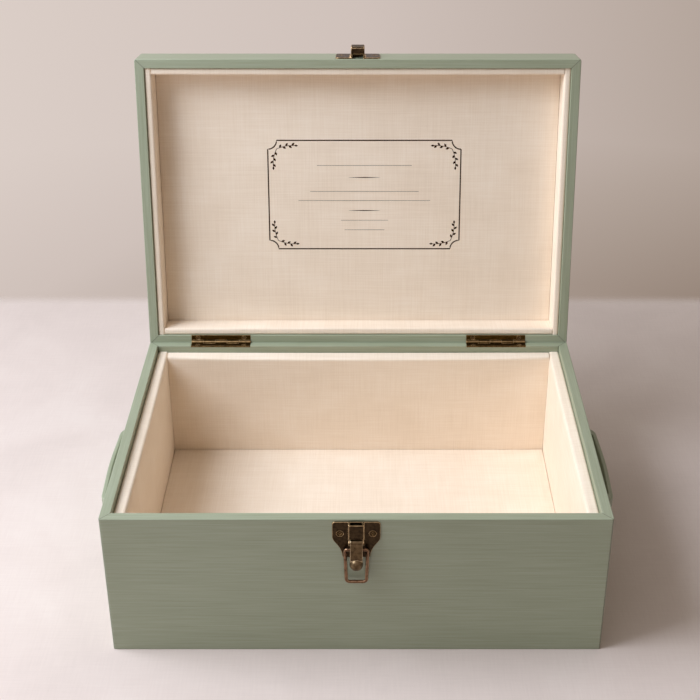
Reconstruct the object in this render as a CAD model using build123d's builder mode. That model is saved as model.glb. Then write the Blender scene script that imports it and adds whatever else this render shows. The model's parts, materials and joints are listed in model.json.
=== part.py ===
from build123d import *
import os
from math import cos, radians, tan

# Keepsake box: a painted timber case with a hinged lid, padded linen linings,
# two butt hinges, a toggle latch and a bow handle at each end.
# Origin: centre of the underside of the case. +Z up, the latch side faces -Y.
# The lid stands open; the latch lever and its wire bail hang down.

# --- Case and lid -----------------------------------------------------------
width = 360.0           # outside, along X
depth = 245.0           # outside, along Y
case_height = 120.0
lid_height = 30.5
board = 7.5             # thickness of the walls and rails
lid_gap = 0.4           # between the two rims when the lid is shut
open_angle = 99.0       # lid angle at its stop
corner_radius = 1.6     # upright corners
arris = 0.6             # softened long edges
base_thickness = 6.0
lid_panel_thickness = 5.0
rebate = 4.0            # how far the panels run into the boards
panel_clearance = 0.1   # around each panel in its rebate

# --- Linings ----------------------------------------------------------------
lining_board = 2.0      # millboard behind the tray pads
pad = 7.0               # padding and linen in front of the millboard
pad_below_rim = 5.5
floor_padding = 12.0
board_margin = 3.0      # the linen wraps this far round the millboard
pad_round = 2.8         # soft edge of a pad on the open side
pad_back_round = 1.4    # soft edge next to the wall
lid_pad = 5.5
lid_pad_below_rim = 1.5
lid_pad_round = 2.0
lid_millboard = 1.5
lid_linen = 1.5
lining_clearance = 0.1

# --- Hinges -----------------------------------------------------------------
hinge_length = 51.0
hinge_inset = 61.5      # hinge centre, in from each end of the box
leaf = 1.2
barrel_radius = 1.9
hinge_pin_radius = 0.9
pin_clearance = 0.05    # radial, where a part turns on its pin
knuckles = 5
knuckle_gap = 0.2
barrel_clearance = 0.25
axis_inset = 1.2        # hinge axis inside the back face
stop_clearance = 0.08   # each bevel stands this far off the hinge axis
mortise_clearance = 0.1
hinge_screw_inset = 5.7

# --- Screws (head radius, shank radius, length) ------------------------------
hinge_head, hinge_shank, hinge_screw = 1.8, 0.9, 12.0
latch_head, latch_shank, latch_screw = 2.5, 1.2, 6.5
handle_head, handle_shank, handle_screw = 3.5, 1.75, 16.0
recess_width = 0.6      # cross recess in every head
head_rim = 0.3          # straight rim of a countersunk head

# --- Bow handles ------------------------------------------------------------
handle_length = 112.0
handle_reach = 17.8     # out from the wall
handle_grip = 3.4       # thickness of the bow
handle_foot = 14.0      # length of each foot on the wall
handle_height = 10.0
handle_z = 75.0         # middle of the handle above the underside
handle_shoulder = 15.9  # reach at the bends, before they are rounded
handle_lean = 10.0      # the bends stand this far in from the ends
handle_bend = 10.0      # radius of the bends
handle_bow = 400.0      # radius of the bowed middle
handle_round = 1.1
handle_screw_inset = 8.0

# --- Toggle latch -----------------------------------------------------------
sheet = 1.0             # pressed sheet of the plate and the keeper
plate_width = 34.0
plate_top = 1.7         # below the rim of the case
plate_length = 31.0
ear_length = 13.0
tail_width = 19.8
plate_corner = 2.4
bridge_reach = 5.2
bridge_length = 11.7
latch_screw_spacing = 23.2
latch_screw_drop = 11.7
lever_width = 8.8
cheek_clearance = 0.1
pivot_drop = 17.2       # lever pivot below the rim
pivot_reach = 4.4       # lever pivot out from the face
barrel = 2.6            # lever radius round its pivot
lever_depth = 5.95      # from the back of the lever to its outer side
lever_lean = 10.0       # slope of the outer side
lever_round = 2.4       # its long edges
latch_pin_radius = 0.9
cheek_round = 2.1       # cheek radius round the pin
bail_drop = 6.4         # bail pivot below the lever pivot
bail_inset = 0.7        # bail pivot nearer the face than the lever pivot
wire_radius = 1.25
bail_reach = 28.7       # bail pivot to the middle of the cross bar
bail_top_width = 16.1   # between the wire centres
bail_bottom_width = 14.3
bail_end_gap = 3.2      # between the wire ends inside the lever
knob_radius = 4.9
knob_drop = 15.8        # knob centre below the lever pivot
knob_reach = 3.5        # knob centre outside the lever pivot

# --- Keeper on the lid ------------------------------------------------------
keeper_width = 36.0
keeper_length = 22.0
keeper_above_rim = 1.7
keeper_corner = 3.0
keeper_screw_spacing = 27.0
keeper_screw_height = 15.0
catch_width = 11.0
catch_length = 13.3
catch_reach = 9.6       # at the back of the catch
catch_nose = 8.5        # reach at the nose, where the catch is lower
catch_flare = 1.2       # the catch spreads into its plate
catch_mouth = 3.8       # open height under the nose
catch_slack = 0.15      # round the cross bar in its slot

# --- Derived places ---------------------------------------------------------
half_w, half_d = width / 2, depth / 2
hinge_centre = half_w - hinge_inset
inner_w, inner_d = width - 2 * board, depth - 2 * board
axis_y = half_d - axis_inset
axis_z = case_height + lid_gap / 2
LID = Location((0, axis_y, axis_z), (-open_angle, 0, 0))
lid_rim = lid_gap / 2                    # heights in the shut lid's own frame
lid_top = lid_rim + lid_height
lid_middle = axis_inset - half_d         # middle of the lid from the axis
lid_front = axis_inset - depth
lid_ceiling = lid_top - lid_panel_thickness

tray_lining = lining_board + pad
tray_top = case_height - pad_below_rim
tray_w, tray_d = inner_w - 2 * tray_lining, inner_d - 2 * tray_lining
floor_top = base_thickness + lining_board + floor_padding

cheek_inner = lever_width / 2 + cheek_clearance
cheek_outer = cheek_inner + sheet
pivot_z = case_height - pivot_drop
bail_z = pivot_z - bail_drop
bail_u = pivot_reach - bail_inset
bridge_bottom = case_height - plate_top - bridge_length
slot_start = bail_z + bail_reach - wire_radius - catch_slack - axis_z
slot_end = slot_start + 2 * (wire_radius + catch_slack) + 0.3
slot_floor = bail_u - wire_radius - catch_slack


def on_lid(plane):
    """A plane of the shut lid's frame, carried to the open lid."""
    return Plane(LID * plane.location)


def side_point(reach, z):
    """A point of the side view on Plane.YZ, reach measured out from the front face."""
    return (-half_d - reach, z)


def mitre(side):
    """Plan outline that keeps one board of a frame, cut at 45 degrees at both ends."""
    spare = 2 * board
    long_x, long_y = half_w + spare, half_d + spare
    short_x, short_y = half_w - spare, half_d - spare
    sign = 1 if side in ("back", "right") else -1
    if side in ("front", "back"):
        return [(-long_x, sign * long_y), (long_x, sign * long_y),
                (short_x, sign * short_y), (-short_x, sign * short_y)]
    return [(sign * long_x, -long_y), (sign * long_x, long_y),
            (sign * short_x, short_y), (sign * short_x, -short_y)]


def countersunk_screw(head, shank, length):
    """A screw pointing down, its flat head on z = 0, with a cross recess."""
    with BuildPart() as screw:
        with BuildSketch(Plane.XZ):
            with BuildLine():
                Polyline((0, 0), (head, 0), (head, -head_rim),
                         (shank, -head_rim - (head - shank)),
                         (shank, -length + shank), (0, -length), close=True)
            make_face()
        revolve(axis=Axis.Z)
        with BuildSketch():
            Rectangle(head, recess_width)
            Rectangle(recess_width, head)
        extrude(amount=-head / 3, mode=Mode.SUBTRACT)
    return screw.part


def screw_seat(head, shank, length):
    """The matching countersink and pilot hole, to be cut with its rim on z = 0."""
    with BuildPart() as seat:
        with BuildSketch(Plane.XZ):
            with BuildLine():
                Polyline((0, head_rim), (head, head_rim), (head, -head_rim),
                         (shank, -head_rim - (head - shank)),
                         (shank, -length + shank), (0, -length), close=True)
            make_face()
        revolve(axis=Axis.Z)
    return seat.part


hinge_screw_part = countersunk_screw(hinge_head, hinge_shank, hinge_screw)
hinge_seat = screw_seat(hinge_head, hinge_shank, hinge_screw)
latch_screw_part = countersunk_screw(latch_head, latch_shank, latch_screw)
latch_seat = screw_seat(latch_head, latch_shank, latch_screw)
handle_screw_part = countersunk_screw(handle_head, handle_shank, handle_screw)
handle_seat = screw_seat(handle_head, handle_shank, handle_screw)

# Screw places: position, then the turn that points the screw down its hole.
screw_offset = hinge_length / 2 - hinge_screw_inset
leaf_flat = board - axis_inset - barrel_radius - barrel_clearance
leaf_middle = half_d - board + leaf_flat / 2
hinge_xs = [side * hinge_centre + end * screw_offset for side in (-1, 1) for end in (-1, 1)]
case_hinge_places = [Location((x, leaf_middle, case_height)) for x in hinge_xs]
lid_hinge_places = [LID * Location((x, leaf_middle - axis_y, lid_rim), (180, 0, 0))
                    for x in hinge_xs]
latch_places = [Location((side * latch_screw_spacing / 2, -half_d - sheet,
                          case_height - latch_screw_drop), (90, 0, 0)) for side in (-1, 1)]
keeper_places = [LID * Location((side * keeper_screw_spacing / 2, lid_front - sheet,
                                 lid_rim + keeper_screw_height), (90, 0, 0))
                 for side in (-1, 1)]
handle_y = handle_length / 2 - handle_screw_inset
handle_places = [Location((side * inner_w / 2, end * handle_y, handle_z), (0, -side * 90, 0))
                 for side in (-1, 1) for end in (-1, 1)]

# Bevels of the two back edges. They meet when the lid has turned to its stop.
stop_slope = open_angle / 2
stop_drop = stop_clearance / cos(radians(stop_slope))
bevel_width = 2 * axis_inset
bevel = [(0, -stop_drop), (bevel_width, -stop_drop - bevel_width * tan(radians(stop_slope))),
         (bevel_width, lid_gap + stop_drop), (0, lid_gap + stop_drop)]

# --- Case walls -------------------------------------------------------------
with BuildPart() as case_frame:
    with BuildSketch():
        RectangleRounded(width, depth, corner_radius)
        Rectangle(inner_w, inner_d, mode=Mode.SUBTRACT)
    extrude(amount=case_height)
    with BuildSketch():
        Rectangle(inner_w + 2 * rebate, inner_d + 2 * rebate)
    extrude(amount=base_thickness, mode=Mode.SUBTRACT)
    rim_edges = case_frame.faces().sort_by(Axis.Z)[-1].edges()
    foot_edges = case_frame.faces().sort_by(Axis.Z)[0].outer_wire().edges()
    fillet(rim_edges + foot_edges, radius=arris)
    # Stop bevel along the back edge
    with BuildSketch(Plane.YZ.offset(-half_w)):
        with Locations((axis_y, axis_z)):
            Polygon(*bevel, align=None)
    extrude(amount=width, mode=Mode.SUBTRACT)

with BuildPart() as front_wall:
    add(case_frame.part)
    with BuildSketch():
        Polygon(*mitre("front"), align=None)
    extrude(amount=case_height, mode=Mode.INTERSECT)
    with Locations(*latch_places):
        add(latch_seat, mode=Mode.SUBTRACT)
front_wall.part.label = "front_wall"

with BuildPart() as back_wall:
    add(case_frame.part)
    with BuildSketch():
        Polygon(*mitre("back"), align=None)
    extrude(amount=case_height, mode=Mode.INTERSECT)
    # Leaf mortises, and a round bed for each barrel
    with BuildSketch(Plane.XY.offset(case_height)):
        with Locations((-hinge_centre, half_d), (hinge_centre, half_d)):
            Rectangle(hinge_length + 2 * mortise_clearance, 2 * board)
    extrude(amount=-leaf, mode=Mode.SUBTRACT)
    with BuildSketch(Plane.YZ.offset(-hinge_centre - hinge_length / 2 - mortise_clearance)):
        with Locations((axis_y, axis_z)):
            Circle(barrel_radius + barrel_clearance)
    extrude(amount=hinge_length + 2 * mortise_clearance, mode=Mode.SUBTRACT)
    with BuildSketch(Plane.YZ.offset(hinge_centre - hinge_length / 2 - mortise_clearance)):
        with Locations((axis_y, axis_z)):
            Circle(barrel_radius + barrel_clearance)
    extrude(amount=hinge_length + 2 * mortise_clearance, mode=Mode.SUBTRACT)
    with Locations(*case_hinge_places):
        add(hinge_seat, mode=Mode.SUBTRACT)
back_wall.part.label = "back_wall"

with BuildPart() as left_wall:
    add(case_frame.part)
    with BuildSketch():
        Polygon(*mitre("left"), align=None)
    extrude(amount=case_height, mode=Mode.INTERSECT)
    with Locations(*handle_places[:2]):
        add(handle_seat, mode=Mode.SUBTRACT)
left_wall.part.label = "left_wall"

with BuildPart() as right_wall:
    add(case_frame.part)
    with BuildSketch():
        Polygon(*mitre("right"), align=None)
    extrude(amount=case_height, mode=Mode.INTERSECT)
    with Locations(*handle_places[2:]):
        add(handle_seat, mode=Mode.SUBTRACT)
right_wall.part.label = "right_wall"

with BuildPart() as base_panel:
    with BuildSketch():
        Rectangle(inner_w + 2 * (rebate - panel_clearance),
                  inner_d + 2 * (rebate - panel_clearance))
    extrude(amount=base_thickness)
base_panel.part.label = "base_panel"

# --- Tray lining: millboards, and the padded linen that wraps them -----------
board_height = tray_top - base_thickness - board_margin
long_board = inner_w - 2 * tray_lining - 2 * board_margin
side_board = inner_d - 2 * board_margin

with BuildPart() as front_board:
    with BuildSketch(Plane.XY.offset(base_thickness)):
        with Locations((0, -inner_d / 2)):
            Rectangle(long_board, lining_board, align=(Align.CENTER, Align.MIN))
    extrude(amount=board_height)
front_board.part.label = "front_board"

with BuildPart() as back_board:
    mirror(front_board.part, about=Plane.XZ)
back_board.part.label = "back_board"

with BuildPart() as left_board:
    with BuildSketch(Plane.XY.offset(base_thickness)):
        with Locations((-inner_w / 2, 0)):
            Rectangle(lining_board, side_board, align=(Align.MIN, Align.CENTER))
    extrude(amount=board_height)
left_board.part.label = "left_board"

with BuildPart() as right_board:
    mirror(left_board.part, about=Plane.YZ)
right_board.part.label = "right_board"

with BuildPart() as front_pad:
    with BuildSketch(Plane.XY.offset(base_thickness)):
        with Locations((0, -inner_d / 2)):
            Rectangle(inner_w - 2 * tray_lining, tray_lining, align=(Align.CENTER, Align.MIN))
    extrude(amount=tray_top - base_thickness)
    top_edges = front_pad.edges().filter_by(Axis.X).group_by(Axis.Z)[-1].sort_by(Axis.Y)
    fillet(top_edges[-1], radius=pad_round)
    fillet(front_pad.edges().filter_by(Axis.X).group_by(Axis.Y)[0].sort_by(Axis.Z)[-1],
           radius=pad_back_round)
    add(front_board.part, mode=Mode.SUBTRACT)
front_pad.part.label = "front_pad"

with BuildPart() as back_pad:
    mirror(front_pad.part, about=Plane.XZ)
back_pad.part.label = "back_pad"

with BuildPart() as left_pad:
    with BuildSketch(Plane.XY.offset(base_thickness)):
        with Locations((-inner_w / 2, 0)):
            Rectangle(tray_lining, inner_d, align=(Align.MIN, Align.CENTER))
    extrude(amount=tray_top - base_thickness)
    top_edges = left_pad.edges().filter_by(Axis.Y).group_by(Axis.Z)[-1].sort_by(Axis.X)
    fillet(top_edges[-1], radius=pad_round)
    fillet(left_pad.edges().filter_by(Axis.Y).group_by(Axis.X)[0].sort_by(Axis.Z)[-1],
           radius=pad_back_round)
    add(left_board.part, mode=Mode.SUBTRACT)
left_pad.part.label = "left_pad"

with BuildPart() as right_pad:
    mirror(left_pad.part, about=Plane.YZ)
right_pad.part.label = "right_pad"

with BuildPart() as floor_board:
    with BuildSketch(Plane.XY.offset(base_thickness)):
        Rectangle(tray_w - 2 * board_margin, tray_d - 2 * board_margin)
    extrude(amount=lining_board)
floor_board.part.label = "floor_board"

with BuildPart() as floor_pad:
    with BuildSketch(Plane.XY.offset(base_thickness)):
        Rectangle(tray_w - 2 * lining_clearance, tray_d - 2 * lining_clearance)
    extrude(amount=floor_top - base_thickness)
    fillet(floor_pad.faces().sort_by(Axis.Z)[-1].edges(), radius=pad_back_round)
    add(floor_board.part, mode=Mode.SUBTRACT)
floor_pad.part.label = "floor_pad"

# --- Bow handles ------------------------------------------------------------
with BuildPart() as right_handle:
    half_length = handle_length / 2
    gap_end = half_length - handle_foot
    # Each outline goes up from the wall, round a bend, along the bow and back
    outer_bend = (half_w + handle_shoulder, half_length - handle_lean)
    inner_bend = (half_w + handle_shoulder - handle_grip, gap_end + 1.2)
    with BuildSketch(Plane.XY.offset(handle_z - handle_height / 2)):
        with BuildLine():
            FilletPolyline((half_w, half_length), outer_bend,
                           (half_w + handle_reach, 0),
                           (outer_bend[0], -outer_bend[1]), (half_w, -half_length),
                           radius=(handle_bend, handle_bow, handle_bend))
            FilletPolyline((half_w, gap_end), inner_bend,
                           (half_w + handle_reach - handle_grip, 0),
                           (inner_bend[0], -inner_bend[1]), (half_w, -gap_end),
                           radius=(handle_bend / 2, handle_bow, handle_bend / 2))
            Line((half_w, half_length), (half_w, gap_end))
            Line((half_w, -half_length), (half_w, -gap_end))
        make_face()
    extrude(amount=handle_height)
    long_edges = (right_handle.edges().group_by(Axis.Z)[-1]
                  + right_handle.edges().group_by(Axis.Z)[0]).filter_by(Axis.Y, reverse=True)
    fillet(long_edges, radius=handle_round)
    with Locations(*handle_places[2:]):
        add(handle_seat, mode=Mode.SUBTRACT)
right_handle.part.label = "right_handle"

with BuildPart() as left_handle:
    mirror(right_handle.part, about=Plane.YZ)
left_handle.part.label = "left_handle"

with BuildPart() as handle_screws:
    with Locations(*handle_places):
        add(handle_screw_part)
handle_screws.part.label = "handle_screws"

# --- Hinges -----------------------------------------------------------------
pitch = hinge_length / knuckles
hinge_start = -hinge_centre - hinge_length / 2
case_knuckles = [hinge_start + pitch * i for i in range(1, knuckles, 2)]
lid_knuckles = [hinge_start + pitch * i for i in range(0, knuckles, 2)]

with BuildPart() as left_hinge_case_leaf:
    with BuildSketch(Plane.XY.offset(case_height)):
        with Locations((-hinge_centre, half_d - board)):
            Rectangle(hinge_length, board - axis_inset, align=(Align.CENTER, Align.MIN))
    extrude(amount=-leaf)
    # Clear the lid's knuckles, then add this leaf's own
    for start in lid_knuckles:
        with BuildSketch(Plane.YZ.offset(start - knuckle_gap / 2)):
            with Locations((axis_y, axis_z)):
                Circle(barrel_radius + barrel_clearance)
        extrude(amount=pitch + knuckle_gap, mode=Mode.SUBTRACT)
    for start in case_knuckles:
        with BuildSketch(Plane.YZ.offset(start + knuckle_gap / 2)):
            with Locations((axis_y, axis_z)):
                Circle(barrel_radius)
        extrude(amount=pitch - knuckle_gap)
    with BuildSketch(Plane.YZ.offset(hinge_start)):
        with Locations((axis_y, axis_z)):
            Circle(hinge_pin_radius)
    extrude(amount=hinge_length, mode=Mode.SUBTRACT)
    with Locations(*case_hinge_places[:2]):
        add(hinge_seat, mode=Mode.SUBTRACT)
left_hinge_case_leaf.part.label = "left_hinge_case_leaf"

with BuildPart() as right_hinge_case_leaf:
    mirror(left_hinge_case_leaf.part, about=Plane.YZ)
right_hinge_case_leaf.part.label = "right_hinge_case_leaf"

with BuildPart() as left_hinge_pin:
    with BuildSketch(Plane.YZ.offset(hinge_start)):
        with Locations((axis_y, axis_z)):
            Circle(hinge_pin_radius)
    extrude(amount=hinge_length)
left_hinge_pin.part.label = "left_hinge_pin"

with BuildPart() as right_hinge_pin:
    mirror(left_hinge_pin.part, about=Plane.YZ)
right_hinge_pin.part.label = "right_hinge_pin"

with BuildPart() as left_hinge_lid_leaf:
    with BuildSketch(on_lid(Plane.XY.offset(lid_rim))):
        with Locations((-hinge_centre, axis_inset - board)):
            Rectangle(hinge_length, board - axis_inset, align=(Align.CENTER, Align.MIN))
    extrude(amount=leaf)
    for start in case_knuckles:
        with BuildSketch(on_lid(Plane.YZ.offset(start - knuckle_gap / 2))):
            Circle(barrel_radius + barrel_clearance)
        extrude(amount=pitch + knuckle_gap, mode=Mode.SUBTRACT)
    for start in lid_knuckles:
        with BuildSketch(on_lid(Plane.YZ.offset(start + knuckle_gap / 2))):
            Circle(barrel_radius)
        extrude(amount=pitch - knuckle_gap)
    with BuildSketch(on_lid(Plane.YZ.offset(hinge_start))):
        Circle(hinge_pin_radius + pin_clearance)
    extrude(amount=hinge_length, mode=Mode.SUBTRACT)
    with Locations(*lid_hinge_places[:2]):
        add(hinge_seat, mode=Mode.SUBTRACT)
left_hinge_lid_leaf.part.label = "left_hinge_lid_leaf"

with BuildPart() as right_hinge_lid_leaf:
    mirror(left_hinge_lid_leaf.part, about=Plane.YZ)
right_hinge_lid_leaf.part.label = "right_hinge_lid_leaf"

with BuildPart() as case_hinge_screws:
    with Locations(*case_hinge_places):
        add(hinge_screw_part)
case_hinge_screws.part.label = "case_hinge_screws"

with BuildPart() as lid_hinge_screws:
    with Locations(*lid_hinge_places):
        add(hinge_screw_part)
lid_hinge_screws.part.label = "lid_hinge_screws"

# --- Lid rails and panel ----------------------------------------------------
with BuildPart() as lid_frame:
    with BuildSketch(on_lid(Plane.XY.offset(lid_rim))):
        with Locations((0, lid_middle)):
            RectangleRounded(width, depth, corner_radius)
            Rectangle(inner_w, inner_d, mode=Mode.SUBTRACT)
    extrude(amount=lid_height)
    with BuildSketch(on_lid(Plane.XY.offset(lid_top))):
        with Locations((0, lid_middle)):
            Rectangle(inner_w + 2 * rebate, inner_d + 2 * rebate)
    extrude(amount=-lid_panel_thickness, mode=Mode.SUBTRACT)
    lid_up = on_lid(Plane.XY)
    lid_faces = lid_frame.faces().sort_by(Axis((0, 0, 0), lid_up.z_dir))
    fillet(lid_faces[0].edges() + lid_faces[-1].outer_wire().edges(), radius=arris)
    with BuildSketch(on_lid(Plane.YZ.offset(-half_w))):
        Polygon(*[(y, -z) for y, z in bevel], align=None)
    extrude(amount=width, mode=Mode.SUBTRACT)

with BuildPart() as lid_front_rail:
    add(lid_frame.part)
    with BuildSketch(on_lid(Plane.XY.offset(lid_rim))):
        with Locations((0, lid_middle)):
            Polygon(*mitre("front"), align=None)
    extrude(amount=lid_height, mode=Mode.INTERSECT)
    with Locations(*keeper_places):
        add(latch_seat, mode=Mode.SUBTRACT)
lid_front_rail.part.label = "lid_front_rail"

with BuildPart() as lid_back_rail:
    add(lid_frame.part)
    with BuildSketch(on_lid(Plane.XY.offset(lid_rim))):
        with Locations((0, lid_middle)):
            Polygon(*mitre("back"), align=None)
    extrude(amount=lid_height, mode=Mode.INTERSECT)
    with BuildSketch(on_lid(Plane.XY.offset(lid_rim))):
        with Locations((-hinge_centre, axis_inset), (hinge_centre, axis_inset)):
            Rectangle(hinge_length + 2 * mortise_clearance, 2 * board)
    extrude(amount=leaf, mode=Mode.SUBTRACT)
    with BuildSketch(on_lid(Plane.YZ.offset(-hinge_centre - hinge_length / 2
                                            - mortise_clearance))):
        Circle(barrel_radius + barrel_clearance)
    extrude(amount=hinge_length + 2 * mortise_clearance, mode=Mode.SUBTRACT)
    with BuildSketch(on_lid(Plane.YZ.offset(hinge_centre - hinge_length / 2
                                            - mortise_clearance))):
        Circle(barrel_radius + barrel_clearance)
    extrude(amount=hinge_length + 2 * mortise_clearance, mode=Mode.SUBTRACT)
    with Locations(*lid_hinge_places):
        add(hinge_seat, mode=Mode.SUBTRACT)
lid_back_rail.part.label = "lid_back_rail"

with BuildPart() as lid_left_rail:
    add(lid_frame.part)
    with BuildSketch(on_lid(Plane.XY.offset(lid_rim))):
        with Locations((0, lid_middle)):
            Polygon(*mitre("left"), align=None)
    extrude(amount=lid_height, mode=Mode.INTERSECT)
lid_left_rail.part.label = "lid_left_rail"

with BuildPart() as lid_right_rail:
    mirror(lid_left_rail.part, about=Plane.YZ)
lid_right_rail.part.label = "lid_right_rail"

with BuildPart() as lid_panel:
    with BuildSketch(on_lid(Plane.XY.offset(lid_top))):
        with Locations((0, lid_middle)):
            Rectangle(inner_w + 2 * (rebate - panel_clearance),
                      inner_d + 2 * (rebate - panel_clearance))
    extrude(amount=-lid_panel_thickness)
lid_panel.part.label = "lid_panel"

# --- Lid lining -------------------------------------------------------------
lid_pad_start = lid_rim + lid_pad_below_rim
lid_pad_depth = lid_ceiling - lid_pad_start
lid_field_w = inner_w - 2 * lid_pad
lid_field_d = inner_d - 2 * lid_pad
toward_rim = Axis((0, 0, 0), -lid_up.z_dir)
toward_front = Axis((0, 0, 0), -lid_up.y_dir)

with BuildPart() as lid_front_pad:
    with BuildSketch(on_lid(Plane.XY.offset(lid_pad_start))):
        with Locations((0, lid_middle - inner_d / 2)):
            Rectangle(lid_field_w, lid_pad, align=(Align.CENTER, Align.MIN))
    extrude(amount=lid_pad_depth)
    rim_side = lid_front_pad.edges().filter_by(Axis.X).group_by(toward_rim)[-1]
    fillet(rim_side.sort_by(toward_front)[0], radius=lid_pad_round)
lid_front_pad.part.label = "lid_front_pad"

with BuildPart() as lid_back_pad:
    mirror(lid_front_pad.part, about=on_lid(Plane.XZ.offset(-lid_middle)))
lid_back_pad.part.label = "lid_back_pad"

with BuildPart() as lid_left_pad:
    with BuildSketch(on_lid(Plane.XY.offset(lid_pad_start))):
        with Locations((-inner_w / 2, lid_middle)):
            Rectangle(lid_pad, inner_d, align=(Align.MIN, Align.CENTER))
    extrude(amount=lid_pad_depth)
    rim_side = lid_left_pad.edges().filter_by(toward_front).group_by(toward_rim)[-1]
    fillet(rim_side.sort_by(Axis.X)[-1], radius=lid_pad_round)
lid_left_pad.part.label = "lid_left_pad"

with BuildPart() as lid_right_pad:
    mirror(lid_left_pad.part, about=Plane.YZ)
lid_right_pad.part.label = "lid_right_pad"

with BuildPart() as lid_board:
    with BuildSketch(on_lid(Plane.XY.offset(lid_ceiling))):
        with Locations((0, lid_middle)):
            Rectangle(lid_field_w - 2 * board_margin, lid_field_d - 2 * board_margin)
    extrude(amount=-lid_millboard)
lid_board.part.label = "lid_board"

with BuildPart() as lid_linen_panel:
    with BuildSketch(on_lid(Plane.XY.offset(lid_ceiling))):
        with Locations((0, lid_middle)):
            Rectangle(lid_field_w - 2 * lining_clearance, lid_field_d - 2 * lining_clearance)
    extrude(amount=-lid_millboard - lid_linen)
    add(lid_board.part, mode=Mode.SUBTRACT)
lid_linen_panel.part.label = "lid_linen_panel"

# --- Toggle latch on the case front -----------------------------------------
FACE = Plane.XZ.offset(half_d)           # sketch x is X, sketch y is Z, outward is -Y
plate_high = case_height - plate_top
plate_low = plate_high - plate_length
ear_low = plate_high - ear_length
lug_clearance = 0.3     # the lever end of the bridge window below the cheeks

with BuildPart() as latch_plate:
    with BuildSketch(FACE) as plate_outline:
        with BuildLine():
            top = Line((0, plate_high), (plate_width / 2, plate_high))
            ear = Line(top @ 1, (plate_width / 2, ear_low))
            flank = Bezier(ear @ 1, (plate_width / 2, ear_low - 5.4),
                           (tail_width / 2 + 0.5, ear_low - 7.0),
                           (tail_width / 2, plate_low))
            Line(flank @ 1, (0, plate_low))
            mirror(about=Plane.YZ)
        make_face()
        fillet(plate_outline.vertices().group_by(Axis.Y)[-1], radius=plate_corner)
        fillet(plate_outline.vertices().group_by(Axis.Y)[0], radius=plate_corner / 2)
    extrude(amount=sheet)
    fillet(latch_plate.faces().sort_by(Axis.Y)[0].edges(), radius=sheet / 2)
    # Bridge: a cheek at each side with a round eye for the pin, and the strap across
    with BuildSketch(Plane.YZ.offset(-cheek_outer)):
        with BuildLine():
            Polyline(side_point(0, plate_high), side_point(bridge_reach, plate_high),
                     side_point(bridge_reach, pivot_z), side_point(0, pivot_z), close=True)
        make_face()
        with Locations(side_point(pivot_reach, pivot_z)):
            Circle(cheek_round)
    extrude(amount=2 * cheek_outer)
    fillet(latch_plate.edges().filter_by(Axis.Z).group_by(Axis.Y)[0], radius=sheet)
    # Window under the strap, open at the top and at the lever, with the plate behind it
    with BuildSketch(FACE.offset(sheet)):
        with Locations((0, plate_high)):
            Rectangle(2 * cheek_inner, plate_high - pivot_z + cheek_round + lug_clearance,
                      align=(Align.CENTER, Align.MAX))
    extrude(amount=bridge_reach - 2 * sheet, mode=Mode.SUBTRACT)
    with BuildSketch(FACE.offset(sheet)):
        with Locations((0, bridge_bottom)):
            Rectangle(2 * cheek_inner, bridge_bottom - pivot_z + cheek_round + lug_clearance,
                      align=(Align.CENTER, Align.MAX))
    extrude(amount=2 * bridge_reach, mode=Mode.SUBTRACT)
    with BuildSketch(Plane.YZ.offset(-cheek_outer)):
        with Locations(side_point(pivot_reach, pivot_z)):
            Circle(latch_pin_radius)
    extrude(amount=2 * cheek_outer, mode=Mode.SUBTRACT)
    with Locations(*latch_places):
        add(latch_seat, mode=Mode.SUBTRACT)
latch_plate.part.label = "latch_plate"

with BuildPart() as latch_pin:
    with BuildSketch(Plane.YZ.offset(-cheek_outer)):
        with Locations(side_point(pivot_reach, pivot_z)):
            Circle(latch_pin_radius)
    extrude(amount=2 * cheek_outer)
latch_pin.part.label = "latch_pin"

with BuildPart() as latch_screws:
    with Locations(*latch_places):
        add(latch_screw_part)
latch_screws.part.label = "latch_screws"

knob_z, knob_u = pivot_z - knob_drop, pivot_reach + knob_reach
lever_back = pivot_reach - barrel
with BuildPart() as latch_lever:
    with BuildSketch(Plane.YZ.offset(-lever_width / 2)):
        with BuildLine():
            outer = Spline(side_point(pivot_reach + 1.2, pivot_z + barrel - 0.3),
                           side_point(pivot_reach + 3.7, pivot_z - 2.4),
                           side_point(pivot_reach + 5.3, pivot_z - 8.0),
                           side_point(knob_u + 1.6, knob_z + knob_radius - 0.9))
            Line(outer @ 1, side_point(knob_u, knob_z))
            Line(side_point(knob_u, knob_z), side_point(knob_u - 3.0, knob_z + 2.6))
            inner = Spline(side_point(knob_u - 3.0, knob_z + 2.6),
                           side_point(lever_back, bail_z - wire_radius - 0.6),
                           tangents=((1, 1), (0, 1)))
            Line(inner @ 1, side_point(lever_back, pivot_z))
            Line(side_point(lever_back, pivot_z), outer @ 0)
        make_face()
        with Locations(side_point(pivot_reach, pivot_z)):
            Circle(barrel)
    extrude(amount=lever_width)
    # Round the long outer edges, along the lean of the lever
    with BuildSketch(Plane(origin=(0, -half_d - lever_back, pivot_z + barrel), x_dir=(1, 0, 0),
                           z_dir=(0, -tan(radians(lever_lean)), -1))) as section:
        Rectangle(lever_width, 2 * lever_depth)
        fillet(section.vertices().group_by(Axis.Y)[0], radius=lever_round)
    extrude(amount=2 * knob_drop, mode=Mode.INTERSECT)
    with Locations((0, -half_d - knob_u, knob_z)):
        Sphere(knob_radius)
    with BuildSketch(Plane.YZ.offset(-lever_width / 2)):
        with Locations(side_point(pivot_reach, pivot_z)):
            Circle(latch_pin_radius + pin_clearance)
        with Locations(side_point(bail_u, bail_z)):
            Circle(wire_radius + pin_clearance)
    extrude(amount=lever_width, mode=Mode.SUBTRACT)
latch_lever.part.label = "latch_lever"

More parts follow.
